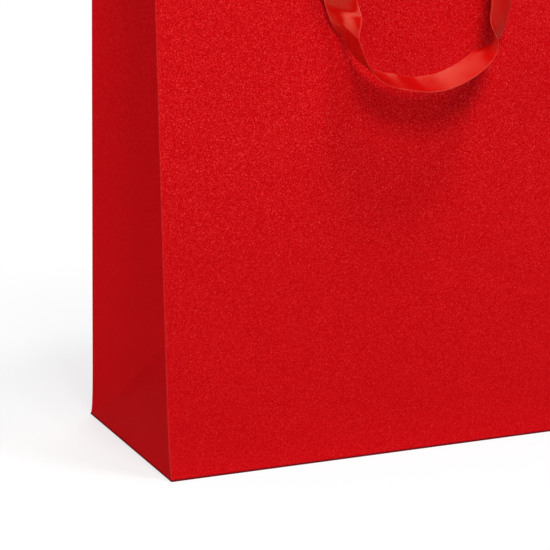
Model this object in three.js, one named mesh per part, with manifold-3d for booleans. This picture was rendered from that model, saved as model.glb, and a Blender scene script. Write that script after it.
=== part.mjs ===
// A paper gift bag with two ribbon handles, standing open, in millimetres.
//
// Frame: +Z up, the origin at the centre of the footprint, X across the bag's width, the front panel at -Y.
// The paper body is one folded sheet in the real bag. Here each panel between two creases is its own mesh.

import * as THREE from 'three';
import { mergeVertices } from 'three/addons/utils/BufferGeometryUtils.js';
import Module from 'manifold-3d';

const wasm = await Module();
wasm.setup();

// ---------------------------------------------------------------- driving dimensions

const WIDTH = 260;
const DEPTH = 120; // of the footprint; the front and back walls lean in above it
const HEIGHT = 320;
const TOP_DEPTH = 80; // between the outer faces of the front and back walls at the rim

const PAPER = 0.35;
const CARD = 0.8; // reinforcement card under the hems
const BOARD = 1.2; // greyboard in the base
const GAP = 0.3; // between layers of paper and between neighbouring panels

const FOOT_HEIGHT = 12; // the lowest part of each wall flares out over the base board
const FOOT_HALF_DEPTH = 56.5; // half the outer depth at the top of that flare

const GUSSET_HALF = DEPTH / 2; // paper width of one gusset half
const TRIANGLE_HEIGHT = 54; // where the two diagonal creases of a gusset meet its centre crease
const CORNER_CLEARANCE = 1; // a gusset half starts this far from the wall's fold
const GUSSET_COLUMNS = 6; // facets across a gusset half, which twists as it rises

const HEM_HEIGHT = 50; // the rim is turned in by this much
const CARD_HEIGHT = 44;
const CARD_HALF_LENGTH = 124;

const HOLE_RADIUS = 3.5;
const HOLE_SPACING = 100;
const HOLE_HEIGHT = HEIGHT - 30;

const SEAM_WIDTH = 15; // the glued flap that closes the tube
const FLAP_OVERLAP = 15; // each long base flap reaches this far past the centre line

const RIBBON_WIDTH = 15;
const RIBBON_THICKNESS = 0.6;
const GATHERED_WIDTH = 6; // of the ribbon where it leaves its hole
const GATHER_LENGTH = 30; // along the ribbon, until it lies open at its full width

// ---------------------------------------------------------------- derived dimensions

const HALF_WIDTH = WIDTH / 2;
const CARD_DEPTH = PAPER + GAP; // from the wall's outer face in to the card
const HEM_DEPTH = CARD_DEPTH + CARD + GAP; // from the wall's outer face in to the hem
const INSIDE_DEPTH = HEM_DEPTH + PAPER; // from the wall's outer face in to the hem's inner face
const WALL_BOTTOM = PAPER + GAP; // the walls stand on the base flaps
const SIDE_FLAP_HEIGHT = 2 * (PAPER + GAP); // underside of the short base flaps
const BOARD_HEIGHT = 3 * (PAPER + GAP); // underside of the base board

// ---------------------------------------------------------------- colours

const RED_PAPER = new THREE.MeshStandardMaterial({ color: 0xc01018, roughness: 0.55, metalness: 0 });
const RED_SATIN = new THREE.MeshStandardMaterial({ color: 0xd00a12, roughness: 0.35, metalness: 0 });
const GREY_BOARD = new THREE.MeshStandardMaterial({ color: 0x9a948a, roughness: 0.9, metalness: 0 });

// ---------------------------------------------------------------- the bag's outline

/** Half the outer depth of the bag at a height: the wall is straight above and below the top of its foot. */
function halfDepth(z) {
  if (z < FOOT_HEIGHT) {
    return THREE.MathUtils.mapLinear(z, 0, FOOT_HEIGHT, DEPTH / 2, FOOT_HALF_DEPTH);
  }
  return THREE.MathUtils.mapLinear(z, FOOT_HEIGHT, HEIGHT, FOOT_HALF_DEPTH, TOP_DEPTH / 2);
}

/** How far a gusset's centre crease is tucked in at a height, so that each half keeps its paper width. */
function tuck(z) {
  return Math.sqrt(GUSSET_HALF ** 2 - halfDepth(z) ** 2);
}

/**
 * The inner edge (x, y) of a gusset half at a height: the diagonal crease below the triangle's tip, and the
 * centre crease above it.
 */
function gussetInnerEdge(z) {
  if (z < TRIANGLE_HEIGHT) {
    const rise = z / TRIANGLE_HEIGHT;
    return new THREE.Vector2(HALF_WIDTH - rise * tuck(TRIANGLE_HEIGHT), (1 - rise) * DEPTH / 2);
  }
  return new THREE.Vector2(HALF_WIDTH - tuck(z), 0);
}

// ---------------------------------------------------------------- solids

/** A manifold-3d solid from a closed three.js geometry. */
function toSolid(geometry) {
  const bare = geometry.clone();
  bare.deleteAttribute('normal');
  bare.deleteAttribute('uv');
  const merged = mergeVertices(bare, 1e-4);
  return new wasm.Manifold(new wasm.Mesh({
    numProp: 3,
    vertProperties: merged.attributes.position.array,
    triVerts: new Uint32Array(merged.index.array),
  }));
}

/** A three.js geometry from a manifold-3d solid. */
function toGeometry(solid) {
  const mesh = solid.getMesh();
  const geometry = new THREE.BufferGeometry();
  geometry.setAttribute('position', new THREE.BufferAttribute(mesh.vertProperties, 3));
  geometry.setIndex(new THREE.BufferAttribute(mesh.triVerts, 1));
  geometry.computeVertexNormals();
  return geometry;
}

/** An outline of [x, y] points extruded by a thickness along +Z. */
function plate(outline, thickness) {
  const shape = new THREE.Shape(outline.map(([x, y]) => new THREE.Vector2(x, y)));
  return new THREE.ExtrudeGeometry(shape, { depth: thickness, bevelEnabled: false });
}

/** A side profile of [y, z] points extruded along X, between two ends. */
function extrudeAlongX(profile, low, high) {
  const geometry = plate(profile, high - low);
  const turn = new THREE.Matrix4().makeBasis(
    new THREE.Vector3(0, 1, 0),
    new THREE.Vector3(0, 0, 1),
    new THREE.Vector3(1, 0, 0),
  );
  return geometry.applyMatrix4(turn).translate(low, 0, 0);
}

/** A closed sheet of columns by rows: place(u, v, w) puts each corner, with u, v and w from 0 to 1. */
function bentSheet(place, columns, rows) {
  const geometry = new THREE.BoxGeometry(1, 1, 1, columns, rows, 1).translate(0.5, 0.5, 0.5);
  const corners = geometry.attributes.position;
  const corner = new THREE.Vector3();
  for (let i = 0; i < corners.count; i += 1) {
    corner.fromBufferAttribute(corners, i);
    corner.copy(place(corner.x, corner.y, corner.z));
    corners.setXYZ(i, corner.x, corner.y, corner.z);
  }
  geometry.computeVertexNormals();
  return geometry;
}

// ---------------------------------------------------------------- walls, cards and hems

/** A layer of the back wall, between two depths in from its outer face, two heights and two ends. */
function wallLayer(outer, inner, low, high, left, right) {
  const heights = [low, FOOT_HEIGHT, high].filter((z) => z >= low && z <= high);
  const outside = heights.map((z) => [halfDepth(z) - outer, z]);
  const inside = heights.map((z) => [halfDepth(z) - inner, z]);
  return extrudeAlongX([...outside, ...inside.reverse()], left, right);
}

/** The same layer with the two round holes for the ribbon. */
function punched(layer) {
  const reach = 20;
  let solid = toSolid(layer);
  for (const side of [-1, 1]) {
    const punch = new THREE.CylinderGeometry(HOLE_RADIUS, HOLE_RADIUS, reach, 24);
    punch.translate(side * HOLE_SPACING / 2, halfDepth(HOLE_HEIGHT), HOLE_HEIGHT);
    solid = solid.subtract(toSolid(punch));
  }
  return toGeometry(solid);
}

function wallPanel() {
  return punched(wallLayer(0, PAPER, WALL_BOTTOM, HEIGHT, -HALF_WIDTH, HALF_WIDTH));
}

function reinforcementCard() {
  const top = HEIGHT - GAP;
  const inner = CARD_DEPTH + CARD;
  return punched(wallLayer(CARD_DEPTH, inner, top - CARD_HEIGHT, top, -CARD_HALF_LENGTH, CARD_HALF_LENGTH));
}

function wallHem() {
  const reach = CARD_HALF_LENGTH;
  return punched(wallLayer(HEM_DEPTH, INSIDE_DEPTH, HEIGHT - HEM_HEIGHT, HEIGHT, -reach, reach));
}

/** The glued flap inside the back wall, from the base board up to the hem. */
function seamFlap() {
  const left = -HALF_WIDTH + 6;
  const low = FOOT_HEIGHT + 4;
  const high = HEIGHT - HEM_HEIGHT - GAP;
  return wallLayer(CARD_DEPTH, CARD_DEPTH + PAPER, low, high, left, left + SEAM_WIDTH);
}

// ---------------------------------------------------------------- gussets

/**
 * A layer of the right gusset's back half, depth in from its outer face, with clearances at its two edges.
 * Every horizontal section of it is a straight line from the wall's fold to the inner crease.
 */
function gussetLayer(depth, heights, foldClearance, creaseClearance) {
  const rows = heights.length - 1;
  return bentSheet((u, v, w) => {
    const z = heights[Math.round(v * rows)];
    const fold = new THREE.Vector2(HALF_WIDTH, halfDepth(z));
    const crease = gussetInnerEdge(z);
    const along = crease.clone().sub(fold).normalize();
    const inward = new THREE.Vector2(along.y, -along.x);
    const length = fold.distanceTo(crease) - foldClearance - creaseClearance;
    const point = fold.addScaledVector(along, foldClearance + u * length);
    point.addScaledVector(inward, depth + w * PAPER);
    return new THREE.Vector3(point.x, point.y, z);
  }, GUSSET_COLUMNS, rows);
}

/** Heights from low to high, evenly spaced. */
function evenly(low, high, steps) {
  return Array.from({ length: steps + 1 }, (_, i) => THREE.MathUtils.lerp(low, high, i / steps));
}

function gussetHalf() {
  const start = 4; // below it the half runs out to a point
  const foot = [start, FOOT_HEIGHT, 26, 40];
  const middle = evenly(TRIANGLE_HEIGHT, HEIGHT - HEM_HEIGHT, 9);
  const top = evenly(HEIGHT - HEM_HEIGHT, HEIGHT, 3);
  return gussetLayer(0, [...foot, ...middle, ...top.slice(1)], CORNER_CLEARANCE, GAP);
}

/** The turned-in top of a gusset half, clear of the wall's own card and hem in the corner. */
function gussetHem() {
  const cornerClearance = 8;
  const creaseClearance = 1;
  const heights = evenly(HEIGHT - HEM_HEIGHT, HEIGHT, 3);
  return gussetLayer(CARD_DEPTH, heights, cornerClearance, creaseClearance);
}

/** The triangle between a gusset's two diagonal creases and the base, leaning in from the base edge. */
function gussetTriangle() {
  const lean = Math.atan2(tuck(TRIANGLE_HEIGHT), TRIANGLE_HEIGHT);
  const slope = TRIANGLE_HEIGHT / Math.cos(lean);
  const tip = slope - 1.5;
  const foot = WALL_BOTTOM / Math.cos(lean);
  const halfBase = DEPTH / 2 - 2;
  const geometry = plate([[-halfBase, foot], [halfBase, foot], [0, tip]], PAPER);
  // The outline's x runs along +Y, its y up the slope, and its thickness into the bag.
  const upSlope = new THREE.Vector3(-Math.sin(lean), 0, Math.cos(lean));
  const along = new THREE.Vector3(0, 1, 0);
  const outward = along.clone().cross(upSlope);
  geometry.applyMatrix4(new THREE.Matrix4().makeBasis(along, upSlope, outward));
  return geometry.translate(HALF_WIDTH - PAPER, 0, 0);
}

// ---------------------------------------------------------------- base

/** A long base flap mitred at 45 degrees from the footprint's corners, seen from the +Y side. */
function mitred(flap) {
  const reach = -FLAP_OVERLAP - 5;
  const inset = DEPTH / 2 - reach;
  const outline = [
    [-HALF_WIDTH, DEPTH / 2],
    [-HALF_WIDTH + inset, reach],
    [HALF_WIDTH - inset, reach],
    [HALF_WIDTH, DEPTH / 2],
  ];
  const cutter = plate(outline, 4).translate(0, 0, -1);
  return toGeometry(toSolid(flap).intersect(toSolid(cutter)));
}

/** The back flap lies flat on the surface that the bag stands on. */
function backBaseFlap() {
  const profile = [[-FLAP_OVERLAP, 0], [DEPTH / 2, 0], [DEPTH / 2, PAPER], [-FLAP_OVERLAP, PAPER]];
  return mitred(extrudeAlongX(profile, -HALF_WIDTH, HALF_WIDTH));
}

/** The front flap, in the back flap's frame turned half round: its glued edge steps up over the back flap. */
function frontBaseFlap() {
  const step = FLAP_OVERLAP + 1.5;
  const profile = [
    [DEPTH / 2, 0],
    [DEPTH / 2, PAPER],
    [step, PAPER],
    [step - 1, WALL_BOTTOM + PAPER],
    [-FLAP_OVERLAP, WALL_BOTTOM + PAPER],
    [-FLAP_OVERLAP, WALL_BOTTOM],
    [step - 1 - GAP, WALL_BOTTOM],
    [step - GAP, 0],
  ];
  return mitred(extrudeAlongX(profile, -HALF_WIDTH, HALF_WIDTH));
}

/** The right short flap, folded in first, above the two long ones. */
function sideBaseFlap() {
  const outer = HALF_WIDTH - 2.2;
  const inner = HALF_WIDTH - 68;
  const half = DEPTH / 2 - 2.5;
  const chamfer = 6;
  const outline = [
    [outer, -half],
    [outer, half],
    [inner + chamfer, half],
    [inner, half - chamfer],
    [inner, chamfer - half],
    [inner + chamfer, -half],
  ];
  return plate(outline, PAPER).translate(0, 0, SIDE_FLAP_HEIGHT);
}

/** The greyboard that stiffens the base, with its corners clipped. The walls, which lean in, keep it down. */
function baseBoard() {
  const halfLength = HALF_WIDTH - 4;
  const halfBreadth = DEPTH / 2 - 3.5;
  const clip = 4;
  const outline = [
    [halfLength, clip - halfBreadth],
    [halfLength, halfBreadth - clip],
    [halfLength - clip, halfBreadth],
    [clip - halfLength, halfBreadth],
    [-halfLength, halfBreadth - clip],
    [-halfLength, clip - halfBreadth],
    [clip - halfLength, -halfBreadth],
    [halfLength - clip, -halfBreadth],
  ];
  return plate(outline, BOARD).translate(0, 0, BOARD_HEIGHT);
}

// ---------------------------------------------------------------- ribbon handles

// The front handle's route, from the left hole down, across and up to the right hole: [x, y, z].
const RIBBON_ROUTE = [
  [-50, -42.6, 290],
  [-49.8, -45.2, 283],
  [-49, -47.8, 270],
  [-47.5, -50, 254],
  [-45.3, -52, 236],
  [-42.8, -53.6, 217],
  [-41.2, -55, 208],
  [-38.6, -56.6, 199],
  [-34.8, -58.8, 190.4],
  [-29.8, -60.6, 184.4],
  [-23.5, -62.3, 181],
  [-15.5, -64.2, 179.2],
  [-5, -65.6, 178.6],
  [4, -65.6, 179.4],
  [12, -65, 181.6],
  [20, -63.8, 185],
  [27, -61.8, 189.4],
  [33, -59.6, 195.4],
  [37.4, -57.2, 204],
  [40.8, -54.6, 215],
  [44.3, -52, 234],
  [47.2, -50, 254],
  [49, -47.8, 270],
  [49.8, -45.2, 283],
  [50, -42.6, 290],
];

// [share of the ribbon's length, degrees turned]: 0 and 180 lie flat on the panel, and 90 stands out from it.
const RIBBON_TURN = [
  [0, 0],
  [0.12, 4],
  [0.25, 30],
  [0.34, 80],
  [0.5, 90],
  [0.66, 100],
  [0.75, 150],
  [0.88, 176],
  [1, 180],
];
const RIBBON_DROOP = 22; // degrees by which the ribbon's outer edge hangs below its inner edge at the bottom

/** The value at a place in a list of [place, value] pairs, eased between them. */
function eased(pairs, at) {
  const next = Math.max(1, pairs.findIndex(([place]) => place >= at));
  const [from, low] = pairs[next - 1];
  const [to, high] = pairs[next];
  return low + (high - low) * THREE.MathUtils.smoothstep(at, from, to);
}

/** The front handle: a flat ribbon that follows its route, gathered narrow at both holes. */
function ribbonHandle() {
  const columns = 6;
  const steps = 72;
  const points = RIBBON_ROUTE.map(([x, y, z]) => new THREE.Vector3(x, y, z));
  const route = new THREE.CatmullRomCurve3(points, false, 'centripetal');
  const length = route.getLength();
  return bentSheet((u, v, w) => {
    const centre = route.getPointAt(v);
    const tangent = route.getTangentAt(v);
    const turn = THREE.MathUtils.degToRad(eased(RIBBON_TURN, v));
    const droop = Math.tan(THREE.MathUtils.degToRad(RIBBON_DROOP)) * Math.sin(turn) ** 2;
    const across = new THREE.Vector3(Math.cos(turn), -Math.sin(turn), -droop);
    across.addScaledVector(tangent, -across.dot(tangent)).normalize();
    const face = tangent.clone().cross(across);
    const fromHole = length * Math.min(v, 1 - v);
    const opened = THREE.MathUtils.smoothstep(fromHole, 0, GATHER_LENGTH);
    const width = THREE.MathUtils.lerp(GATHERED_WIDTH, RIBBON_WIDTH, opened);
    centre.addScaledVector(across, (u - 0.5) * width);
    return centre.addScaledVector(face, (0.5 - w) * RIBBON_THICKNESS);
  }, columns, steps);
}

/** A knot inside the back wall, with the ribbon's stem out through the hole and its tail hanging down. */
function knot() {
  const face = halfDepth(HOLE_HEIGHT);
  const inside = face - INSIDE_DEPTH;
  const stemRadius = 2.6;
  const stemEnd = face + 0.4;
  const knotHalf = new THREE.Vector3(7, 4.6, 6);
  const centre = inside - 1 - knotHalf.y;
  const lump = new THREE.SphereGeometry(1, 16, 12);
  lump.scale(knotHalf.x, knotHalf.y, knotHalf.z).translate(0, centre, 0);
  const stem = new THREE.CylinderGeometry(stemRadius, stemRadius, stemEnd - centre, 12);
  stem.translate(0, (stemEnd + centre) / 2, 0);
  const tailLength = 30;
  const tail = new THREE.BoxGeometry(GATHERED_WIDTH + 5, 1, tailLength).translate(0, centre, -tailLength / 2);
  const solid = toSolid(lump).add(toSolid(stem)).add(toSolid(tail));
  return toGeometry(solid).translate(0, 0, HOLE_HEIGHT);
}

// ---------------------------------------------------------------- assembly

const bag = new THREE.Group();

/** Adds a named mesh, mirrored across X or Y where side or face is -1. */
function add(name, geometry, material, side = 1, face = 1) {
  const mesh = new THREE.Mesh(geometry, material);
  mesh.name = name;
  mesh.scale.set(side, face, 1);
  bag.add(mesh);
  return mesh;
}

const FACES = [['front', -1], ['back', 1]];
const SIDES = [['left', -1], ['right', 1]];

for (const [faceName, face] of FACES) {
  add(`${faceName}_panel`, wallPanel(), RED_PAPER, 1, face);
  add(`${faceName}_card`, reinforcementCard(), GREY_BOARD, 1, face);
  add(`${faceName}_hem`, wallHem(), RED_PAPER, 1, face);
  for (const [sideName, side] of SIDES) {
    const knotMesh = add(`${faceName}_knot_${sideName}`, knot(), RED_SATIN, 1, face);
    knotMesh.position.x = side * HOLE_SPACING / 2;
  }
}

for (const [sideName, side] of SIDES) {
  for (const [faceName, face] of FACES) {
    add(`${sideName}_gusset_${faceName}`, gussetHalf(), RED_PAPER, side, face);
    add(`${sideName}_hem_${faceName}`, gussetHem(), RED_PAPER, side, face);
  }
  add(`${sideName}_gusset_base`, gussetTriangle(), RED_PAPER, side);
  add(`base_flap_${sideName}`, sideBaseFlap(), RED_PAPER, side);
}

add('side_seam_flap', seamFlap(), RED_PAPER);
add('base_flap_back', backBaseFlap(), RED_PAPER);
add('base_flap_front', frontBaseFlap(), RED_PAPER, 1, -1);
add('base_board', baseBoard(), GREY_BOARD);

add('front_ribbon', ribbonHandle(), RED_SATIN);
const backRibbon = add('back_ribbon', ribbonHandle(), RED_SATIN);
backRibbon.rotation.z = Math.PI;

export default bag;
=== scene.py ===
"""A red paper gift bag with satin ribbon handles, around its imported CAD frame. Lengths are in metres."""
import math

import bmesh
import bpy
import numpy as np
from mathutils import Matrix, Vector, noise


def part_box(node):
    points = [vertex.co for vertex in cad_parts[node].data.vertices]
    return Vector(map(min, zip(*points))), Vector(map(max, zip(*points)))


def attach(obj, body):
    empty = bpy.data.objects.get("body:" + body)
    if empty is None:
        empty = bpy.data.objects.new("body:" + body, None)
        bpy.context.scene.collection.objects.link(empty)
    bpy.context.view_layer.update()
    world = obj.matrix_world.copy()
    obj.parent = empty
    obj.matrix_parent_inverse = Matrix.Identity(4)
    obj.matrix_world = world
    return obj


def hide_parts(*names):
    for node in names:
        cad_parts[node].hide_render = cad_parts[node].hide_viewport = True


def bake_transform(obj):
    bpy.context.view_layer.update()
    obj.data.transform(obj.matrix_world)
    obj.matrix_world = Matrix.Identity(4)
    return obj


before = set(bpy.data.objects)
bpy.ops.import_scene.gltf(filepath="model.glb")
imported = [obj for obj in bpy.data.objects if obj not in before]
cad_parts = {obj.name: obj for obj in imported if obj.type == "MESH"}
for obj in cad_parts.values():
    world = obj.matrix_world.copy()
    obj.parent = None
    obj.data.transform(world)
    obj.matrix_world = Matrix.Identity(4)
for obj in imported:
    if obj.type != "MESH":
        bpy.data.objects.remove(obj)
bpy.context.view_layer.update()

MM = 0.001

# ------------------------------------------------------------------ the bag's driving dimensions

PANEL_LOW, PANEL_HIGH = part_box("back_panel")
HALF_WIDTH = PANEL_HIGH.x
HEIGHT = PANEL_HIGH.z
HALF_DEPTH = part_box("base_flap_back")[1].y  # of the footprint
TRIANGLE_HEIGHT = 54 * MM  # where a gusset's two diagonal creases meet its centre crease

PAPER = 0.35 * MM
FOLD_RADIUS = 0.5 * MM  # of the outside of a folded edge
FOOT_FLARE = 3 * MM  # the walls flare out by this much over the base board
FOOT_REACH = 8 * MM  # and the flare dies away over this height
LEAN = 0.0531  # of the front and back walls above the flare
BASE_BEAD = 0.4 * MM  # the folded bottom edge stands proud of the gussets by this much
BEAD_REACH = 1.2 * MM
CREASE_SOFTNESS_LOW = 5 * MM  # the reach of a gusset's rounded creases, down at the base triangle
CREASE_SOFTNESS_HIGH = 2 * MM  # and up at the rim
FLAP_OVERLAP = 15 * MM  # each long base flap reaches this far past the centre line
SHORT_FLAP_REACH = 68 * MM
SHORT_FLAP_CORNER = 8 * MM  # cut off each of its inner corners
SHORT_FLAP_INSET = 2 * MM  # of its two ends from the folds at the bag's corners
LAYER_RISE = 0.42 * MM  # of one layer of paper over another
LAYER_EASE = 1.5 * MM  # the paper takes this far each way to climb a layer
FLAP_STEP = 3.5 * MM  # between the flaps' rows

WALL_WAVE = 0.55 * MM  # the sheet's wide unevenness
WALL_RIPPLE = 0.12 * MM  # and its small one
CARD_RIDGE = 0.1 * MM  # how far the card's lower edge shows through the wall

HEM_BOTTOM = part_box("back_hem")[0].z
CARD_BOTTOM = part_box("back_card")[0].z
WALL_DEPTH = 2.1 * MM  # through paper, card and hem
GUSSET_DEPTH = 1.0 * MM  # through paper and hem, with no card

HOLE_RADIUS = 3.5 * MM
HOLE_HEIGHT = 290 * MM
HOLE_X = 50 * MM

RIBBON_WIDTH = 15 * MM
RIBBON_THICKNESS = 0.28 * MM
SELVEDGE_THICKNESS = 0.5 * MM
SELVEDGE_START = 0.45  # of the ribbon's width from its middle; the selvedge is at its full thickness
SELVEDGE_FULL = 0.475  # from here on out
GATHERED_WIDTH = 6 * MM  # of the ribbon in its hole
GATHER_LENGTH = 30 * MM  # from there until it lies open
PLEAT_DEPTH = 1.5 * MM  # of the gathered ribbon's folds
CUP_DEPTH = 0.45 * MM  # the open ribbon's middle stands out by about this much
RIBBON_DROOP = math.radians(22)  # of the ribbon's outer edge below its inner edge, at the bottom of the loop
CURVE_STEPS = 24  # between two points of a route, before it is spaced evenly
RIBBON_STEPS = 280
RIBBON_COLUMNS = 30

THREAD_PITCH = 0.25 * MM  # between the ribbon's warp threads
FLOAT_LENGTH = 2 * MM  # of a warp thread over the weft
PICK_PITCH = 1 * MM  # between the beads along a selvedge

# The front handle's route in millimetres, from the left hole down, across and up to the right hole.
RIBBON_ROUTE = [
    (-50, -42.6, 290), (-49.8, -45.2, 283), (-49, -47.8, 270), (-47.5, -50, 254), (-45.3, -52, 236),
    (-42.8, -53.6, 217), (-41.2, -55, 208), (-38.6, -56.6, 199), (-34.8, -58.8, 190.4),
    (-29.8, -60.6, 184.4), (-23.5, -62.3, 181), (-15.5, -64.2, 179.2), (-5, -65.6, 178.6), (4, -65.6, 179.4),
    (12, -65, 181.6), (20, -63.8, 185), (27, -61.8, 189.4), (33, -59.6, 195.4), (37.4, -57.2, 204),
    (40.8, -54.6, 215), (44.3, -52, 234), (47.2, -50, 254), (49, -47.8, 270), (49.8, -45.2, 283),
    (50, -42.6, 290),
]

# (share of the ribbon's length, degrees turned): 0 and 180 lie flat on the panel, and 90 stands out from it.
RIBBON_TURN = [
    (0, 0), (0.12, 2), (0.25, 20), (0.34, 80), (0.5, 90), (0.61, 97), (0.69, 150), (0.79, 175), (1, 180),
]

# Where a ribbon goes on into its hole, in millimetres from the end of its route, for the front handle.
INTO_HOLE = [(0, 4.8, 0.4), (0, 3.4, 0.8), (0, 2, 0.8), (0, 0.9, 0.5)]

# The ribbon's soft creases: (distance along it, reach above, reach below, depth, slant across its width).
RIBBON_CREASES = [
    (79 * MM, 11 * MM, 10 * MM, 2.9 * MM, 11 * MM),
    (136 * MM, 10 * MM, 26 * MM, -1.0 * MM, 4 * MM),
]

KNOT_GAP = 1 * MM  # from the hem's inner face to the knot
KNOT_REACH = 4.6 * MM  # from the knot's middle to its side
KNOT_TURNS = 15  # points round the knot's own loop
TAIL_END = 29.5 * MM  # below the hole
TAIL_OPENS = (26 * MM, 12 * MM)  # from its end: where the tail starts to widen, and where it has opened
STEM = (2 * MM, 5 * MM)  # the stretch over which the ribbon from the hole takes the knot's own section
KNOT_SECTION = (2.3 * MM, 1.7 * MM)  # half width and half thickness of the gathered ribbon in the knot
STEM_SECTION = (2.7 * MM, 1.0 * MM)  # in the hole
TAIL_SECTION = (5.5 * MM, 0.25 * MM)  # and at the tail's end
TAIL_SLANT = 0.35  # of its cut end
KNOT_STEPS = 220
KNOT_RING = 26


# ------------------------------------------------------------------ camera, light and floor

CAMERA_AZIMUTH = -23.2  # degrees from -Y towards +X
CAMERA_ELEVATION = 12.65
CAMERA_DISTANCE = 0.986
CAMERA_TARGET = (-52.4 * MM, 0, 78.6 * MM)
CAMERA_LENS = 130.9  # millimetres, on a sensor 36 mm wide
SENSOR_WIDTH = 36

SURROUND_STRENGTH = 0.13
LIGHT_TARGET = (0, -0.05, 0.18)  # by the front ribbon loop

# (name, azimuth, elevation, distance from the target, size of the square soft box, power in watts)
SOFT_BOXES = [
    ("key", -8, 42, 1.1, 0.36, 7.3),
    ("left_fill", -80, 25, 1.3, 0.7, 5.9),
    ("back_fill", 160, 35, 1.3, 0.8, 7),
    ("top_box", 34, 70, 0.9, 0.2, 3.9),
]

FLOOR_HALF = 4.0
FLOOR_DROP = 0.05 * MM  # below the bag's underside
FLOOR_WARMTH = 0.97  # red against green and blue, which makes up for red light off the bag
FLOOR_NEAR = 0.2  # from the origin, out to where the floor keeps its shadow
FLOOR_FAR = 0.42  # and to where it has gone to white


def from_direction(azimuth, elevation, distance, target):
    """The point at a distance from a target, towards an azimuth and an elevation in degrees."""
    turn = math.radians(azimuth)
    lift = math.radians(elevation)
    back = Vector((math.sin(turn) * math.cos(lift), -math.cos(turn) * math.cos(lift), math.sin(lift)))
    return Vector(target) + back * distance


def aim(thing, place, target):
    """Puts a camera or a light at a place, facing a target."""
    bpy.context.scene.collection.objects.link(thing)
    thing.location = place
    thing.rotation_mode = "QUATERNION"
    thing.rotation_quaternion = (Vector(target) - Vector(place)).to_track_quat("-Z", "Y")


def make_camera():
    """A long lens, from the bag's left and a little above, aimed at its lower left."""
    data = bpy.data.cameras.new("camera")
    data.lens = CAMERA_LENS
    data.sensor_width = SENSOR_WIDTH
    camera = bpy.data.objects.new("camera", data)
    place = from_direction(CAMERA_AZIMUTH, CAMERA_ELEVATION, CAMERA_DISTANCE, CAMERA_TARGET)
    aim(camera, place, CAMERA_TARGET)
    bpy.context.scene.camera = camera


def make_surround():
    """An even pale surround, which the camera sees as white."""
    world = bpy.data.worlds.new("studio")
    world.use_nodes = True
    nodes = world.node_tree.nodes
    links = world.node_tree.links
    surround = nodes["Background"]
    surround.inputs["Color"].default_value = (1, 1, 1, 1)
    surround.inputs["Strength"].default_value = SURROUND_STRENGTH
    seen = nodes.new("ShaderNodeBackground")
    seen.inputs["Color"].default_value = (1, 1, 1, 1)
    path = nodes.new("ShaderNodeLightPath")
    mix = nodes.new("ShaderNodeMixShader")
    links.new(path.outputs["Is Camera Ray"], mix.inputs[0])
    links.new(surround.outputs[0], mix.inputs[1])
    links.new(seen.outputs[0], mix.inputs[2])
    links.new(mix.outputs[0], nodes["World Output"].inputs["Surface"])
    bpy.context.scene.world = world


def make_soft_boxes():
    """Square area lights round the bag. The overhead one puts the bright band on the ribbon."""
    for name, azimuth, elevation, distance, size, power in SOFT_BOXES:
        data = bpy.data.lights.new(name, "AREA")
        data.shape = "SQUARE"
        data.size = size
        data.energy = power
        light = bpy.data.objects.new(name, data)
        aim(light, from_direction(azimuth, elevation, distance, LIGHT_TARGET), LIGHT_TARGET)


def make_floor():
    """A wide plain floor under the bag."""
    corners = [(x * FLOOR_HALF, y * FLOOR_HALF, 0) for x, y in ((-1, -1), (1, -1), (1, 1), (-1, 1))]
    mesh = bpy.data.meshes.new("floor")
    mesh.from_pydata(corners, [], [(0, 1, 2, 3)])
    floor = bpy.data.objects.new("floor", mesh)
    bpy.context.scene.collection.objects.link(floor)
    floor.location.z = -FLOOR_DROP
    mesh.materials.append(white_sweep())


def pale_floor(material, albedo, glow):
    """A diffuse surface with a faint glow of its own."""
    nodes = material.node_tree.nodes
    links = material.node_tree.links
    paper = nodes.new("ShaderNodeBsdfDiffuse")
    paper.inputs["Color"].default_value = (FLOOR_WARMTH * albedo, albedo, albedo, 1)
    light = nodes.new("ShaderNodeEmission")
    light.inputs["Strength"].default_value = glow
    both = nodes.new("ShaderNodeAddShader")
    links.new(paper.outputs[0], both.inputs[0])
    links.new(light.outputs[0], both.inputs[1])
    return both


def white_sweep():
    """The floor: a faint shadow by the bag, white further off, and clear when seen from below."""
    material = bpy.data.materials.new("white_sweep")
    material.use_nodes = True
    nodes = material.node_tree.nodes
    links = material.node_tree.links
    nodes.remove(nodes["Principled BSDF"])
    lit = pale_floor(material, 0.67, 0.12)  # what it throws back on the bag
    near = pale_floor(material, 0.35, 0.66)  # what the camera sees
    far = nodes.new("ShaderNodeEmission")
    place = nodes.new("ShaderNodeTexCoord").outputs["Object"]
    distance = nodes.new("ShaderNodeVectorMath")
    distance.operation = "LENGTH"
    links.new(place, distance.inputs[0])
    fade = mapped(material, distance.outputs["Value"], FLOOR_NEAR, FLOOR_FAR)
    path = nodes.new("ShaderNodeLightPath").outputs["Is Camera Ray"]
    back = nodes.new("ShaderNodeNewGeometry").outputs["Backfacing"]
    clear = nodes.new("ShaderNodeBsdfTransparent")
    seen = shader_mix(material, fade, near.outputs[0], far.outputs[0])
    above = shader_mix(material, path, lit.outputs[0], seen)
    both_sides = shader_mix(material, back, above, clear.outputs[0])
    links.new(both_sides, nodes["Material Output"].inputs["Surface"])
    return material


def shader_mix(material, share, first, second):
    """One shader where share is 0, and another where it is 1."""
    made = material.node_tree.nodes.new("ShaderNodeMixShader")
    for place, output in enumerate((share, first, second)):
        material.node_tree.links.new(output, made.inputs[place])
    return made.outputs[0]


# ------------------------------------------------------------------ mesh helpers

SMOOTH_ANGLE = math.radians(40)  # edges sharper than this stay sharp in the shading
SAME_POINT = 0.0001 * MM  # points nearer than this are one


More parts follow.
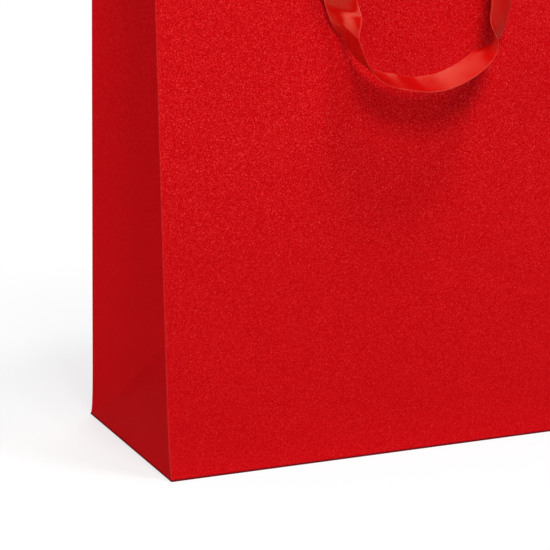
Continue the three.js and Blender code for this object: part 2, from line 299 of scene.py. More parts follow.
def link_mesh(name, points, faces):
    """A new mesh object, shaded smooth except across its sharp edges."""
    mesh = bpy.data.meshes.new(name)
    mesh.from_pydata([tuple(p) for p in points], [], faces)
    mesh.validate()
    mesh.shade_smooth()
    mesh.set_sharp_from_angle(angle=SMOOTH_ANGLE)
    piece = bpy.data.objects.new(name, mesh)
    bpy.context.scene.collection.objects.link(piece)
    return piece


def settle(piece):
    """Applies a piece's modifiers, so that its own mesh is the final one, and joins points that coincide."""
    graph = bpy.context.evaluated_depsgraph_get()
    mesh = bpy.data.meshes.new_from_object(piece.evaluated_get(graph))
    piece.modifiers.clear()
    piece.data = mesh
    joined = bmesh.new()
    joined.from_mesh(mesh)
    bmesh.ops.remove_doubles(joined, verts=joined.verts, dist=SAME_POINT)
    joined.to_mesh(mesh)
    joined.free()
    mesh.shade_smooth()
    mesh.set_sharp_from_angle(angle=SMOOTH_ANGLE)
    return piece


def smoothstep(low, high, at):
    """0 below low, 1 above high, and eased in between. It takes numbers and arrays."""
    share = np.clip((np.asarray(at, float) - low) / (high - low), 0, 1)
    return share * share * (3 - 2 * share)


def eased(pairs, at):
    """The value at a place in a list of (place, value) pairs, eased between them."""
    for (low, low_value), (high, high_value) in zip(pairs, pairs[1:]):
        if at <= high:
            return low_value + (high_value - low_value) * float(smoothstep(low, high, at))
    return pairs[-1][1]


def unit_rows(vectors):
    """Each row of an array, made one long."""
    return vectors / np.linalg.norm(vectors, axis=1)[:, None]


def graded(low, high, step, extra=()):
    """Places from low to high about a step apart, that include the extra ones."""
    fixed = sorted({low, high, *(x for x in extra if low < x < high)})
    places = []
    for start, end in zip(fixed, fixed[1:]):
        parts = max(1, round((end - start) / step))
        places.extend(np.linspace(start, end, parts + 1)[:-1])
    return np.array([*places, high])


# ------------------------------------------------------------------ ribbon handles

def directions(route):
    """The unit direction of a route at each of its points."""
    return unit_rows(np.gradient(route, axis=0))


def lengths_along(route):
    """The distance from a route's start to each of its points."""
    return np.concatenate([[0], np.cumsum(np.linalg.norm(np.diff(route, axis=0), axis=1))])


def square_to(tangent, across):
    """A unit vector near across and square to a tangent."""
    across = across - tangent * across.dot(tangent)
    return across / np.linalg.norm(across)


def smooth_route(points, count):
    """count + 1 evenly spaced points along the centripetal Catmull-Rom curve through the given ones."""
    points = [np.array(p, float) for p in points]
    ends = [2 * points[0] - points[1], 2 * points[-1] - points[-2]]
    knots = [ends[0], *points, ends[1]]
    fine = []
    for p0, p1, p2, p3 in zip(knots, knots[1:], knots[2:], knots[3:]):
        t1 = np.linalg.norm(p1 - p0) ** 0.5
        t2 = t1 + np.linalg.norm(p2 - p1) ** 0.5
        t3 = t2 + np.linalg.norm(p3 - p2) ** 0.5
        for t in np.linspace(t1, t2, CURVE_STEPS, endpoint=False):
            a1 = p0 + (p1 - p0) * t / t1
            a2 = p1 + (p2 - p1) * (t - t1) / (t2 - t1)
            a3 = p2 + (p3 - p2) * (t - t2) / (t3 - t2)
            b1 = a1 + (a2 - a1) * t / t2
            b2 = a2 + (a3 - a2) * (t - t1) / (t3 - t1)
            fine.append(b1 + (b2 - b1) * (t - t1) / (t2 - t1))
    fine = np.array([*fine, points[-1]])
    along = lengths_along(fine)
    even = np.linspace(0, along[-1], count + 1)
    return np.stack([np.interp(even, along, fine[:, axis]) for axis in range(3)], axis=1)


def ribbon_profile(columns):
    """A ribbon's closed section: (place across it from -0.5 to 0.5, half thickness with its sign)."""
    across = np.linspace(-0.5, 0.5, columns + 1)
    bead = smoothstep(SELVEDGE_START, SELVEDGE_FULL, np.abs(across))
    half = (RIBBON_THICKNESS + (SELVEDGE_THICKNESS - RIBBON_THICKNESS) * bead) / 2
    half[[0, -1]] *= 0.5  # which rounds the edges off
    return [*zip(across[::-1], half[::-1]), *zip(across, -half)]


def tube_faces(rings, ring):
    """The faces of a closed tube of rings of points, with an end cap on each end."""
    faces = []
    for i in range(rings - 1):
        for j in range(ring):
            k = (j + 1) % ring
            faces.append((i * ring + j, i * ring + k, (i + 1) * ring + k, (i + 1) * ring + j))
    faces.append(tuple(range(ring))[::-1])
    faces.append(tuple((rings - 1) * ring + j for j in range(ring)))
    return faces


def creased(along, place):
    """How far a ribbon's soft creases push it off its smooth route. Each is a valley with straight sides."""
    lift = 0
    for middle, above, below, depth, slant in RIBBON_CREASES:
        x = along - middle - slant * place
        reach = above if x < 0 else below
        near = max(1 - math.hypot(x / reach, 0.1), 0)
        lift -= depth * near * float(smoothstep(0, 0.25, near))
    return lift


def ribbon_piece(name, side):
    """One handle. Side is -1 for the front one and 1 for the back one, the same turned half round."""
    route = smooth_route(RIBBON_ROUTE, RIBBON_STEPS) * MM
    length = lengths_along(route)[-1]
    start = route[0] + np.array(INTO_HOLE) * MM
    end = route[-1] + np.array(INTO_HOLE[::-1]) * MM
    centres = np.concatenate([start, route, end])
    shares = np.concatenate([np.zeros(len(start)), np.linspace(0, 1, len(route)), np.ones(len(end))])
    profile = ribbon_profile(RIBBON_COLUMNS)
    points = []
    coordinates = []
    for centre, tangent, share in zip(centres, directions(centres), shares):
        turn = math.radians(eased(RIBBON_TURN, share))
        droop = math.tan(RIBBON_DROOP) * math.sin(turn) ** 2
        across = square_to(tangent, np.array([math.cos(turn), -math.sin(turn), -droop]))
        face = np.cross(tangent, across)
        opened = float(smoothstep(0, GATHER_LENGTH, length * min(share, 1 - share)))
        width = GATHERED_WIDTH + (RIBBON_WIDTH - GATHERED_WIDTH) * opened
        for place, half in profile:
            pleat = PLEAT_DEPTH * (1 - opened) * math.sin(3 * math.pi * place)
            cup = CUP_DEPTH * opened * (0.33 - 4 * place * place)
            lift = pleat + cup + creased(share * length, place)
            points.append(centre + across * place * width + face * (half + lift))
            coordinates.append((place * RIBBON_WIDTH, share * length))
    points = np.array(points)
    if side > 0:
        points[:, :2] *= -1
        route = route * (-1, -1, 1)
    piece = link_mesh(name, points, tube_faces(len(centres), len(profile)))
    ribbon_coordinates(piece, coordinates)
    piece.data.materials.append(satin_material())
    return piece, route, length


def knot_route(middle, face):
    """An overhand knot from the hole to the tail's end, in millimetres. Y is out through the wall."""
    points = [(0, face - 1, 0.4), (0, face - 3, 0.2)]
    for share in np.linspace(0, 0.93, KNOT_TURNS):
        angle = math.pi / 6 + 2 * math.pi * share
        x = 1.75 * (math.sin(angle) + 2 * math.sin(2 * angle))
        y = 2.5 * math.sin(3 * angle)
        z = 1.5 * (math.cos(angle) - 2 * math.cos(2 * angle))
        points.append((x, middle + y, z))
    x, y, z = points[-1]
    points += [(0.7 * x, y + 0.6, z - 4), (0.3 * x, y + 1, z - 9)]
    points += [(0.1 * x, y + 1.4, -20), (0, y + 1.6, -TAIL_END / MM)]
    return points


def knot_section(stem, tail):
    """Half the width and half the thickness of the gathered ribbon; stem and tail are shares from 0 to 1."""
    sizes = zip(KNOT_SECTION, STEM_SECTION, TAIL_SECTION)
    return [knot + stem * (first - knot) + tail * (last - knot) for knot, first, last in sizes]


def knot_piece(name, hole, side):
    """The knot inside one hole: the gathered ribbon tied on itself, and its tail opening out as it hangs."""
    face = half_depth(HOLE_HEIGHT)
    middle = face - WALL_DEPTH - KNOT_GAP - KNOT_REACH
    route = smooth_route(knot_route(middle / MM, face / MM), KNOT_STEPS) * MM
    along = lengths_along(route)
    opens, open_wide = (along[-1] - x for x in TAIL_OPENS)
    sideways = np.array([1.0, 0, 0])
    across = sideways
    points = []
    coordinates = []
    for centre, tangent, distance in zip(route, directions(route), along):
        tail = float(smoothstep(opens, open_wide, distance))
        stem = 1 - float(smoothstep(*STEM, distance))
        across = square_to(tangent, across * (1 - 0.3 * tail) + sideways * 0.3 * tail)
        face_way = np.cross(tangent, across)
        width, thick = knot_section(stem, tail)
        for angle in 2 * math.pi * np.arange(KNOT_RING) / KNOT_RING:
            pleat = 1 + 0.13 * (1 - tail) * math.cos(6 * angle + 90 * distance)
            ripple = 0.5 * MM * tail * math.sin(2.2 * math.pi * math.cos(angle))
            offset = across * width * math.cos(angle) + face_way * (thick * math.sin(angle) + ripple)
            points.append(centre + offset * pleat)
            coordinates.append((0.48 * RIBBON_WIDTH * math.cos(angle), distance))
    points = np.array(points)
    points[-KNOT_RING:, 2] += TAIL_SLANT * points[-KNOT_RING:, 0]
    mirror = (-1, 1, 1) if side > 0 else (1, -1, 1)
    faces = tube_faces(len(route), KNOT_RING)
    faces = [corners[::-1] for corners in faces]  # because the mirror turns them inside out
    piece = link_mesh(name, points * mirror + np.array(hole), faces)
    ribbon_coordinates(piece, coordinates)
    piece.data.materials.append(satin_material())
    return piece


def ribbon_coordinates(piece, coordinates):
    """Gives a ribbon piece the layer that its weave follows: metres across and along, for each point."""
    layer = piece.data.uv_layers.new(name="ribbon")
    for loop in piece.data.loops:
        layer.data[loop.index].uv = coordinates[loop.vertex_index]


def make_handles():
    """Both ribbon handles, each with its two knots."""
    for face, side in (("front", -1), ("back", 1)):
        for end, x_side in (("left", -1), ("right", 1)):
            place = (x_side * HOLE_X, 0, HOLE_HEIGHT)
            knot = knot_piece(f"{face}_{end}_knot", place, side)
            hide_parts(f"{face}_knot_{end}")
            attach(knot, "bag")
        piece, route, length = ribbon_piece(f"{face}_handle_ribbon", side)
        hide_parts(f"{face}_ribbon")
        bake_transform(piece)


# ------------------------------------------------------------------ paper body

def half_depth(z):
    """Half the bag's outer depth at a height."""
    return HALF_DEPTH - FOOT_FLARE * (1 - math.exp(-z / FOOT_REACH)) - LEAN * z


def tuck(z):
    """How far a gusset's centre crease is tucked in, so that each half keeps its paper width."""
    return math.sqrt(HALF_DEPTH ** 2 - half_depth(z) ** 2)


def gusset_corners(z, wall_inset, gusset_inset):
    """The right gusset's front fold and inner crease (x, y) at a height, for a layer inset from outside."""
    depth = half_depth(z)
    width = HALF_WIDTH + BASE_BEAD * math.exp(-z / BEAD_REACH)
    if z < TRIANGLE_HEIGHT:
        rise = max(z, 0) / TRIANGLE_HEIGHT
        crease = np.array([width - rise * tuck(TRIANGLE_HEIGHT), -(1 - rise) * HALF_DEPTH])
        return np.array([width, -depth]), crease
    run = tuck(z)
    shift = (HALF_DEPTH * gusset_inset + run * wall_inset) / depth
    fold = np.array([width - shift, wall_inset - depth])
    crease = np.array([width - run - HALF_DEPTH * gusset_inset / depth, 0])
    return fold, crease


def gusset_point(s, z, insets):
    """The point (x, y) a distance s from the front fold along the right gusset's sharp section."""
    fold, crease = gusset_corners(z, *insets)
    along = crease - fold
    first = np.linalg.norm(along)
    half = first - crease[1]
    mirror = 1
    if s > half:
        s = 2 * half - s
        mirror = -1
    if first > 1e-5 and s < first:
        point = fold + along * s / first
    else:
        point = crease + (0, s - first)
    return point * (1, mirror)


def gusset_half_length(z, insets):
    """The length of the right gusset's section at a height, from its front fold to its middle."""
    fold, crease = gusset_corners(z, *insets)
    return np.linalg.norm(crease - fold) - crease[1]


def soft_gusset_point(s, z, insets):
    """The same point with its creases rounded: the mean over a small disc on the sheet."""
    above = float(smoothstep(TRIANGLE_HEIGHT, 2.5 * TRIANGLE_HEIGHT, z))
    radius = min(CREASE_SOFTNESS_LOW + (CREASE_SOFTNESS_HIGH - CREASE_SOFTNESS_LOW) * above, 0.35 * z)
    points = [gusset_point(s, z, insets)]
    for ring, count in ((0.5, 6), (1, 10)):
        for i in range(count):
            angle = 2 * math.pi * i / count
            ds = ring * radius * math.cos(angle)
            dz = ring * radius * math.sin(angle)
            points.append(gusset_point(s + ds, z + dz, insets))
    return np.mean(points, axis=0)


def fold_arc(corner, before, after, steps):
    """Points round a folded edge, between the line that runs in along before and the one out along after."""
    turn = math.acos(np.clip(before.dot(after), -1, 1))
    tangent = FOLD_RADIUS * math.tan(turn / 2)
    normal = after - before * before.dot(after)
    normal /= np.linalg.norm(normal)
    centre = corner - before * tangent + normal * FOLD_RADIUS
    angles = np.linspace(0, turn, steps + 1)
    arc = [centre + FOLD_RADIUS * (before * math.sin(a) - normal * math.cos(a)) for a in angles]
    return arc, tangent


ARC_STEPS = 6
GUSSET_STEPS = 30
STEADY = 100 * MM  # a panel's columns keep their place up to here, where the holes are
LAST_LINE = 126 * MM  # of a panel's columns
HOLE_LINES = [side * share * HOLE_RADIUS for share in (0.5, 1, 1.5, 2) for side in (-1, 1)]
PANEL_LINES = graded(0, LAST_LINE, 7 * MM, [STEADY, HOLE_X, *(HOLE_X + x for x in HOLE_LINES)])


def quarter_section(z, insets=(0, 0)):
    """The bag's outline (x, y) at a height, from the front's middle to the right gusset's centre crease."""
    corner = gusset_corners(z, *insets)[0]
    near = soft_gusset_point(0, z, insets)
    ahead = soft_gusset_point(0.8 * MM, z, insets)
    after = (ahead - near) / np.linalg.norm(ahead - near)
    arc, tangent = fold_arc(corner, np.array([1.0, 0.0]), after, ARC_STEPS)
    end = corner[0] - tangent
    squeeze = (end - STEADY) / (HALF_WIDTH - STEADY)
    xs = np.where(PANEL_LINES > STEADY, STEADY + (PANEL_LINES - STEADY) * squeeze, PANEL_LINES)
    front = [np.array([x, corner[1]]) for x in xs]
    half = gusset_half_length(z, insets)
    shares = np.linspace(0, 1, GUSSET_STEPS + 1)[1:]
    gusset = [soft_gusset_point(tangent + share * (half - tangent), z, insets) for share in shares]
    return np.array([*front, *arc, *gusset])


def whole_loop(quarter):
    """A quarter mirrored into the closed loop, anticlockwise from the front's middle."""
    back = quarter[-2::-1] * (1, -1)
    half = np.concatenate([quarter, back])
    return np.concatenate([half, half[1:-1] * (-1, -1)])


QUARTER = len(PANEL_LINES) + ARC_STEPS + 1 + GUSSET_STEPS


def loop_values(panel, arc, gusset):
    """A value for each column of the whole loop, from its value on panels, across a fold and on gussets."""
    quarter = [panel] * len(PANEL_LINES) + list(arc) + [gusset] * GUSSET_STEPS
    half = [*quarter, *quarter[-2::-1]]
    return np.array([*half, *half[1:-1]])


HALF_LOOP = 2 * (QUARTER - 1)
RIM_RADIUS = loop_values(WALL_DEPTH, np.linspace(WALL_DEPTH, GUSSET_DEPTH, ARC_STEPS + 1), GUSSET_DEPTH) / 2
ON_PANEL = loop_values(1, np.linspace(1, 0, ARC_STEPS + 1), 0)
ON_FOLD = loop_values(0, np.sin(np.linspace(0, math.pi, ARC_STEPS + 1)), 0)


def offset_loop(loop, inset):
    """A closed anticlockwise loop of (x, y) points moved inward."""
    ahead = unit_rows(np.roll(loop, -1, axis=0) - loop)
    behind = unit_rows(loop - np.roll(loop, 1, axis=0))
    tangent = unit_rows(ahead + behind)
    return loop + inset * np.stack([-tangent[:, 1], tangent[:, 0]], axis=1)


def with_height(loop, z):
    """A loop of (x, y) points at a height, which may differ from point to point."""
    return np.column_stack([loop, np.broadcast_to(z, len(loop))])


def wall_lines():
    """The heights of the wall's rows: close together at the foot, at the low creases and round the holes."""
    foot = [FOLD_RADIUS + x * MM for x in (0, 0.5, 1.1, 1.9, 3, 4.5, 6.3, 8.4)]
    low = graded(11 * MM, 72 * MM, 2.2 * MM)
    holes = [HOLE_HEIGHT, *(HOLE_HEIGHT + x for x in HOLE_LINES)]
    edges = [z + x * MM for z in (CARD_BOTTOM, HEM_BOTTOM) for x in (-1.5, 0, 1.5)]
    high = graded(72 * MM, HEIGHT - WALL_DEPTH / 2, 6 * MM, [*holes, *edges])
    return np.array([*foot, *low, *high[1:]])


def paper_rows():
    """Rows of points on the sheet's outer face, up the wall, over the rim and down the hem."""
    walls = wall_lines()
    foot = whole_loop(quarter_section(FOLD_RADIUS))
    rows = []
    for angle in np.radians([90, 68, 45, 22]):
        ring = offset_loop(foot, FOLD_RADIUS * (1 - math.cos(angle)))
        rows.append(with_height(ring, FOLD_RADIUS * (1 - math.sin(angle))))
    for z in walls[:-1]:
        rows.append(with_height(whole_loop(quarter_section(z)), z))
    shoulder = walls[-1]
    for angle in np.linspace(0, math.pi, 9):
        share = (1 - math.cos(angle)) / 2
        ring = whole_loop(quarter_section(shoulder, (WALL_DEPTH * share, GUSSET_DEPTH * share)))
        rows.append(with_height(ring, HEIGHT - RIM_RADIUS * (1 - math.sin(angle))))
    for z in walls[-2::-1]:
        if z < HEM_BOTTOM - 1e-6:
            break
        rows.append(with_height(whole_loop(quarter_section(z, (WALL_DEPTH, GUSSET_DEPTH))), z))
    return rows


def sway(point, on_panel):
    """The sheet's slight unevenness at a point: how far it stands out from its true plane."""
    x, y, z = point
    side = 3.7 if y > 0 else 0
    wide = noise.noise(Vector((x * 11, side, z * 9)))
    small = noise.noise(Vector((x * 34, side + 5, z * 27)))
    held = float(smoothstep(4 * MM, 60 * MM, z) * (1 - 0.85 * smoothstep(220 * MM, 270 * MM, z)))
    ridge = math.exp(-((z - CARD_BOTTOM) / (1.6 * MM)) ** 2)
    return on_panel * ((WALL_WAVE * wide + WALL_RIPPLE * small) * held + CARD_RIDGE * ridge)


def round_hole(dx, dz):
    """Moves a point near a hole's centre, so that the square of grid lines round it becomes a circle."""
    square = max(abs(dx), abs(dz))
    if square >= 2 * HOLE_RADIUS or square < 1e-9:
        return dx, dz
    share = min(1, (2 * HOLE_RADIUS - square) / HOLE_RADIUS)
    grow = 1 + share * (square / math.hypot(dx, dz) - 1)
    return dx * grow, dz * grow


def shaped(point, column):
    """A point of the sheet with its hole outline and unevenness put in."""
    x, y, z = point
    if ON_PANEL[column] == 1 and z > HEM_BOTTOM:
        dx, dz = round_hole(abs(x) - HOLE_X, z - HOLE_HEIGHT)
        y -= math.copysign(LEAN * (HOLE_HEIGHT + dz - z), y)
        x = math.copysign(HOLE_X + dx, x)
        z = HOLE_HEIGHT + dz
    y += math.copysign(sway(point, ON_PANEL[column]), y)
    return x, y, z


def in_hole(corners):
    """Whether a face, given by its corners, lies in one of the punched holes."""
    x, z = np.mean([abs(corners[:, 0]), corners[:, 2]], axis=1)
    return max(abs(x - HOLE_X), abs(z - HOLE_HEIGHT)) < HOLE_RADIUS


def climb(past):
    """The share of a layer that the paper has climbed at a distance past the edge of what it lies on."""
    return float(smoothstep(-LAYER_EASE, LAYER_EASE, past))


def long_flap_place(start, inward):
    """Where the sheet of a long base flap lies, at a distance inward from its point on the base edge."""
    x, y, _ = start
    side = math.copysign(1, y)
    mitre = 1 - inward / (HALF_WIDTH - FOLD_RADIUS)
    y -= side * inward
    if side > 0:
        return x * mitre, y, 0
    on_back_flap = float(smoothstep(-FLAP_OVERLAP - 2.5 * MM, -FLAP_OVERLAP - 0.5 * MM, y))
    return x * mitre, y, LAYER_RISE * on_back_flap


def short_flap_place(start, inward):
    """The same for a short base flap, which lies on the long ones and on their overlap."""
    x, y, _ = start
    edge = abs(y)
    at_corner = float(smoothstep(50 * MM, 58 * MM, edge))
    narrowed = edge - min(edge, SHORT_FLAP_INSET) * float(smoothstep(0, 3 * MM, inward)) * at_corner
    inward = min(inward, SHORT_FLAP_REACH - max(0, edge - (HALF_DEPTH - SHORT_FLAP_CORNER)))
    x -= math.copysign(inward, x)
    y = math.copysign(narrowed, y)
    on_long_flap = climb(inward - (HALF_DEPTH - narrowed))
    on_overlap = climb(HALF_WIDTH - HALF_DEPTH - y - abs(x)) * climb(y + FLAP_OVERLAP + 2.5 * MM)
    return x, y, LAYER_RISE * (on_long_flap + on_overlap)


def wall_faces(rows):
    """The faces between rows of points round the bag, without those in the holes."""
    grid = np.array(rows)
    count = len(rows[0])
    faces = []
    for i in range(len(rows) - 1):
        for j in range(count):
            k = (j + 1) % count
            corners = grid[[i, i, i + 1, i + 1], [j, k, k, j]]
            if ON_PANEL[j] == ON_PANEL[k] == 1 and in_hole(corners):
                continue
            faces.append((i * count + j, i * count + k, (i + 1) * count + k, (i + 1) * count + j))
    return faces


def add_flap(points, faces, columns, place, reach):
    """Adds one base flap, which hangs on to the first row's points at the given columns."""
    starts = [points[column] for column in columns]
    edge = columns
    for inward in graded(0, reach, FLAP_STEP, [0.4 * MM, 1 * MM, 2 * MM, 3 * MM])[1:]:
        row = range(len(points), len(points) + len(columns))
        points.extend(place(start, inward) for start in starts)
        faces.extend((a, d, c, b) for a, b, c, d in zip(edge, edge[1:], row[1:], row))
        edge = row


def paper_body():
    """The whole folded sheet as one mesh: walls, gussets, turned-in rim and base flaps."""
    rows = paper_rows()
    count = len(rows[0])
    faces = wall_faces(rows)
    points = [shaped(p, column) for row in rows for column, p in enumerate(row)]
    # Painted highlight: a paler tone along the folded edges, for the light their rounded edge catches.
    highlight_mask = np.tile(0.5 * ON_FOLD, len(rows))
    gusset = QUARTER - 1
    flaps = [
        (0, len(PANEL_LINES), long_flap_place, HALF_DEPTH + FLAP_OVERLAP),
        (HALF_LOOP, len(PANEL_LINES), long_flap_place, HALF_DEPTH + FLAP_OVERLAP),
        (gusset, GUSSET_STEPS, short_flap_place, SHORT_FLAP_REACH),
        (gusset + HALF_LOOP, GUSSET_STEPS, short_flap_place, SHORT_FLAP_REACH),
    ]
    for middle, half, place, reach in flaps:
        columns = [(middle + i) % count for i in range(-half, half + 1)]
        add_flap(points, faces, columns, place, reach)

    piece = link_mesh("paper_body", points, faces)
    attribute = piece.data.attributes.new("fold_highlight", "FLOAT", "POINT")
    attribute.data.foreach_set("value", np.pad(highlight_mask, (0, len(points) - len(highlight_mask))).astype(np.float32))
    for material in (pearl_paper(), inner_paper(), paper_edge()):
        piece.data.materials.append(material)
    thickness = piece.modifiers.new("thickness", "SOLIDIFY")
    thickness.thickness = PAPER
    thickness.offset = -1
    thickness.use_even_offset = True
    thickness.material_offset = 1
    thickness.material_offset_rim = 2
    settle(piece)
    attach(piece, "bag")
    nodes = ["front_panel", "back_panel", "front_hem", "back_hem"]
    nodes += [f"{side}_gusset_{part}" for side in ("left", "right") for part in ("front", "back", "base")]
    nodes += [f"{side}_hem_{part}" for side in ("left", "right") for part in ("front", "back")]
    nodes += [f"base_flap_{side}" for side in ("front", "back", "left", "right")]
    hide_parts(*nodes)


# ------------------------------------------------------------------ materials

NOISE_TURN = (0.6, 0.9, 0.35)  # keeps the noise's own grid out of line with the walls

# (noise value, colour) from the hollows of the pearl coat's grain to its brightest flakes; the bright stops
# are painted glints of the pearl coat
PEARL_GRAIN_AND_GLINTS = [
    (0.30, (0.44, 0.0001, 0.0015)),
    (0.50, (0.56, 0.0022, 0.0050)),
    (0.62, (0.68, 0.014, 0.016)),
    (0.74, (0.84, 0.055, 0.050)),
]
BLOTCH_RED = (0.45, 0.001, 0.003)
FOLD_HIGHLIGHT_RED = (0.58, 0.045, 0.042)  # painted highlight, where a fold's rounded edge catches light
FOOT_SHADE_RED = (0.06, 0.003, 0.006)  # painted contact shade along the very bottom edge

INNER_FIBRES = [(0.3, (0.42, 0.008, 0.010)), (0.7, (0.54, 0.014, 0.016))]
INNER_CLOUD = (0.46, 0.010, 0.012)
EDGE_FIBRES = [(0.35, (0.36, 0.012, 0.014)), (0.65, (0.52, 0.035, 0.033))]
BOARD_FIBRES = [(0.3, (0.27, 0.255, 0.22)), (0.7, (0.40, 0.38, 0.335))]
BOARD_FLECK = (0.13, 0.12, 0.11)

SATIN_FLOATS = [(0.3, (0.46, 0.0001, 0.0003)), (0.7, (0.55, 0.0002, 0.0006))]
SATIN_SHEEN = (1, 0.42, 0.26, 1)
# Painted glint of the selvedge beads: a pale orange for the light they catch.
SELVEDGE_GLINT = (0.75, 0.05, 0.045)

GRAIN_DEPTH = 0.045 * MM
FIBRE_DEPTH = 0.05 * MM
CUT_DEPTH = 0.08 * MM  # of the relief on cut edges and board
WEAVE_DEPTH = 0.02 * MM


def new_material(name, roughness, specular):
    """A node material and its Principled shader."""
    material = bpy.data.materials.new(name)
    material.use_nodes = True
    shader = material.node_tree.nodes["Principled BSDF"]
    shader.inputs["Roughness"].default_value = roughness
    shader.inputs["Specular IOR Level"].default_value = specular
    return material, shader


def node(material, kind, links=(), **values):
    """A new node. Values sets its properties or inputs by name; links joins (output, input name) pairs."""
    made = material.node_tree.nodes.new(kind)
    for name, value in values.items():
        if hasattr(made, name):
            setattr(made, name, value)
        else:
            made.inputs[name.replace("_", " ").title()].default_value = value
    for output, name in links:
        material.node_tree.links.new(output, made.inputs[name])
    return made


def ramp(material, source, stops):
    """A colour ramp over an output, from (place, colour) stops."""
    made = node(material, "ShaderNodeValToRGB", [(source, "Fac")])
    elements = made.color_ramp.elements
    while len(elements) < len(stops):
        elements.new(0.5)
    for element, (place, colour) in zip(elements, stops):
        element.position = place
        element.color = (*colour, 1)
    return made.outputs["Color"]


def math_node(material, operation, first, second=None):
    """A Math node on outputs or numbers."""
    made = material.node_tree.nodes.new("ShaderNodeMath")
    made.operation = operation
    for place, value in enumerate((first, second)):
        if value is None:
            continue
        if isinstance(value, (int, float)):
            made.inputs[place].default_value = value
        else:
            material.node_tree.links.new(value, made.inputs[place])
    return made.outputs[0]


def mapped(material, source, low, high, to_low=0.0, to_high=1.0):
    """An output's range from low to high, mapped to another range and clamped."""
    made = material.node_tree.nodes.new("ShaderNodeMapRange")
    material.node_tree.links.new(source, made.inputs["Value"])
    for name, value in (("From Min", low), ("From Max", high), ("To Min", to_low), ("To Max", to_high)):
        made.inputs[name].default_value = value
    return made.outputs["Result"]


def mixed(material, amount, first, second):
    """A colour mix of outputs or plain colours; amount is an output or a number."""
    made = material.node_tree.nodes.new("ShaderNodeMix")
    made.data_type = "RGBA"
    sockets = [made.inputs["Factor"], *(i for i in made.inputs if i.name in "AB" and i.type == "RGBA")]
    for socket, value in zip(sockets, (amount, first, second)):
        if isinstance(value, (int, float)):
            socket.default_value = value
        elif isinstance(value, tuple):
            socket.default_value = (*value, 1)
        else:
            material.node_tree.links.new(value, socket)
    return next(o for o in made.outputs if o.type == "RGBA")


def object_noise(material, scale, detail=2.0, roughness=0.5):
    """Noise in the object's own coordinates; scale is in features per metre."""
    place = material.node_tree.nodes.new("ShaderNodeTexCoord").outputs["Object"]
    turned = node(material, "ShaderNodeMapping", [(place, "Vector")], rotation=NOISE_TURN)
    made = node(material, "ShaderNodeTexNoise", [(turned.outputs["Vector"], "Vector")])
    made.inputs["Scale"].default_value = scale
    made.inputs["Detail"].default_value = detail
    made.inputs["Roughness"].default_value = roughness
    return made.outputs["Fac"]


def add_bump(material, shader, height, distance, strength=1.0):
    """A bump from a height between 0 and 1, distance metres deep."""
    bump = material.node_tree.nodes.new("ShaderNodeBump")
    bump.inputs["Strength"].default_value = strength
    bump.inputs["Distance"].default_value = distance
    material.node_tree.links.new(height, bump.inputs["Height"])
    material.node_tree.links.new(bump.outputs["Normal"], shader.inputs["Normal"])


def pearl_paper():
    """The bag's outside: red paper with a fine pearly grain and painted glints of its pearl coat, with a
    painted highlight along the folds and a painted shade line along the foot.
    """
    material, shader = new_material("red_pearl_paper", 0.55, 0.02)
    grain = object_noise(material, 1500, 2, 0.65)
    normal = material.node_tree.nodes.new("ShaderNodeNewGeometry").outputs["Normal"]
    facing = node(material, "ShaderNodeSeparateXYZ", [(normal, "Vector")]).outputs
    place = material.node_tree.nodes.new("ShaderNodeTexCoord").outputs["Object"]
    height = node(material, "ShaderNodeSeparateXYZ", [(place, "Vector")]).outputs["Z"]

    # Painted shade: the grain and its painted glints are weaker on the gussets and towards the foot, where
    # less light falls.
    on_gusset = mapped(material, math_node(material, "ABSOLUTE", facing["X"]), 0.4, 0.9, 1.0, 0.3)
    near_foot = mapped(material, height, 0.01, 0.15, 0.6, 1.0)
    strength = math_node(material, "MULTIPLY", on_gusset, near_foot)
    centred = math_node(material, "SUBTRACT", grain, 0.5)
    speck = math_node(material, "ADD", math_node(material, "MULTIPLY", centred, strength), 0.5)
    colour = ramp(material, speck, PEARL_GRAIN_AND_GLINTS)

    blotch = mapped(material, object_noise(material, 14, 3), 0.35, 0.65, 0.0, 0.10)
    colour = mixed(material, blotch, colour, BLOTCH_RED)
    # Painted highlight along the folds, made uneven along them.
    highlight_mask = node(material, "ShaderNodeAttribute", attribute_name="fold_highlight").outputs["Fac"]
    uneven = mapped(material, object_noise(material, 700, 2), 0.3, 0.7, 0.25, 0.9)
    colour = mixed(material, math_node(material, "MULTIPLY", highlight_mask, uneven), colour, FOLD_HIGHLIGHT_RED)

    # Painted shade: a dark line along the walls' bottom edge, for the shadow where the fold curves under,
    # and none on the underside.
    upright = mapped(material, math_node(material, "ABSOLUTE", facing["Z"]), 0.6, 0.95, 1.0, 0.0)
    foot = mapped(material, height, 0.0005, 0.0014, 0.9, 0.0)
    colour = mixed(material, math_node(material, "MULTIPLY", foot, upright), colour, FOOT_SHADE_RED)
    material.node_tree.links.new(colour, shader.inputs["Base Color"])
    add_bump(material, shader, grain, GRAIN_DEPTH)
    return material


def inner_paper():
    """The bag's inside: the same paper with a matt, fibrous face."""
    name = "red_inner_paper"
    if name in bpy.data.materials:
        return bpy.data.materials[name]
    material, shader = new_material(name, 0.9, 0.05)
    fibres = object_noise(material, 900, 4, 0.7)
    cloud = mapped(material, object_noise(material, 45, 3), 0.3, 0.7, 0.0, 0.35)
    colour = mixed(material, cloud, ramp(material, fibres, INNER_FIBRES), INNER_CLOUD)
    material.node_tree.links.new(colour, shader.inputs["Base Color"])
    add_bump(material, shader, fibres, FIBRE_DEPTH)
    return material


def paper_edge():
    """The cut edge of the paper, rough and a little paler."""
    material, shader = new_material("red_paper_edge", 0.9, 0.05)
    fibres = object_noise(material, 2500, 3, 0.7)
    material.node_tree.links.new(ramp(material, fibres, EDGE_FIBRES), shader.inputs["Base Color"])
    add_bump(material, shader, fibres, CUT_DEPTH)
    return material


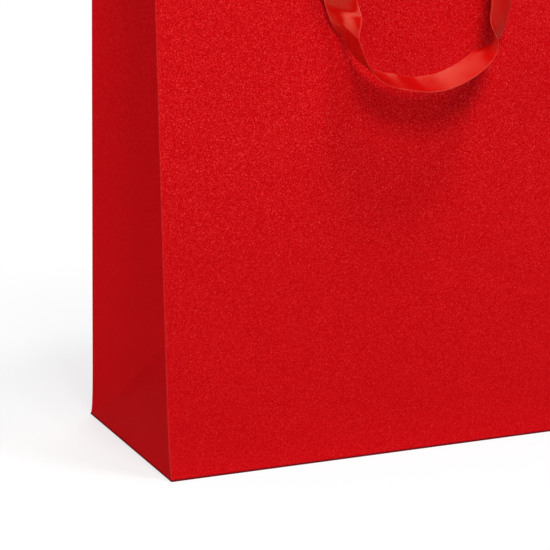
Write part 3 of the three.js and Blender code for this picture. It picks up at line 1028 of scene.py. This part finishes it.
def greyboard():
    """Grey recycled board, for the base board and the cards under the hems."""
    material, shader = new_material("fibrous_greyboard", 0.85, 0.1)
    fibres = object_noise(material, 600, 4, 0.7)
    flecks = mapped(material, object_noise(material, 1400, 1), 0.68, 0.74, 0.0, 0.7)
    colour = mixed(material, flecks, ramp(material, fibres, BOARD_FIBRES), BOARD_FLECK)
    material.node_tree.links.new(colour, shader.inputs["Base Color"])
    add_bump(material, shader, fibres, CUT_DEPTH)
    return material


def wave(material, source, pitch):
    """A sine wave of an output, one turn in each pitch."""
    return math_node(material, "SINE", math_node(material, "MULTIPLY", source, 2 * math.pi / pitch))


def satin_material():
    """The ribbon: red satin whose long floats run along it, between two woven selvedges."""
    name = "woven_red_satin"
    if name in bpy.data.materials:
        return bpy.data.materials[name]
    material, shader = new_material(name, 0.29, 0.7)
    shader.inputs["Anisotropic"].default_value = 1.0
    shader.inputs["Specular Tint"].default_value = SATIN_SHEEN
    tree = material.node_tree
    flat = node(material, "ShaderNodeUVMap", uv_map="ribbon").outputs["UV"]
    parts = node(material, "ShaderNodeSeparateXYZ", [(flat, "Vector")]).outputs

    # Warp threads lie side by side across the ribbon; each float is a few threads long.
    thread = wave(material, parts["X"], THREAD_PITCH)
    stretched = node(material, "ShaderNodeVectorMath", operation="MULTIPLY")
    stretched.inputs[1].default_value = (1 / THREAD_PITCH, 1 / FLOAT_LENGTH, 1)
    tree.links.new(flat, stretched.inputs[0])
    floats = node(material, "ShaderNodeTexNoise", [(stretched.outputs[0], "Vector")], scale=1.0, detail=1.0)
    shade = ramp(material, floats.outputs["Fac"], SATIN_FLOATS)

    # The selvedge is a narrow plain weave with a bead at each pick, each bead with a painted glint: a paler
    # colour for the light it catches.
    from_middle = math_node(material, "ABSOLUTE", parts["X"])
    selvedge = mapped(material, from_middle, SELVEDGE_START * RIBBON_WIDTH, SELVEDGE_FULL * RIBBON_WIDTH)
    pick = wave(material, parts["Y"], PICK_PITCH)
    bead_glints = math_node(material, "MULTIPLY", mapped(material, pick, -0.2, 0.8, 0.1, 0.6), selvedge)
    tree.links.new(mixed(material, bead_glints, shade, SELVEDGE_GLINT), shader.inputs["Base Color"])

    relief = math_node(material, "MULTIPLY", thread, mapped(material, selvedge, 0.0, 1.0, 0.12, 0.0))
    relief = math_node(material, "ADD", relief, math_node(material, "MULTIPLY", pick, selvedge))
    add_bump(material, shader, relief, WEAVE_DEPTH)
    across = node(material, "ShaderNodeTangent", direction_type="UV_MAP", uv_map="ribbon")
    tree.links.new(across.outputs["Tangent"], shader.inputs["Tangent"])
    return material


# ------------------------------------------------------------------ making it

make_camera()
make_handles()
bpy.context.scene.view_settings.view_transform = "Standard"
make_surround()
make_soft_boxes()
make_floor()
paper_body()

# The CAD nodes whose shape is right, which stay in view.
BOARD = greyboard()
SHOWN_NODES = {"side_seam_flap": inner_paper(), "front_card": BOARD, "back_card": BOARD, "base_board": BOARD}
for cad_name, material in SHOWN_NODES.items():
    cad_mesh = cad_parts[cad_name].data
    cad_mesh.materials.clear()
    cad_mesh.materials.append(material)
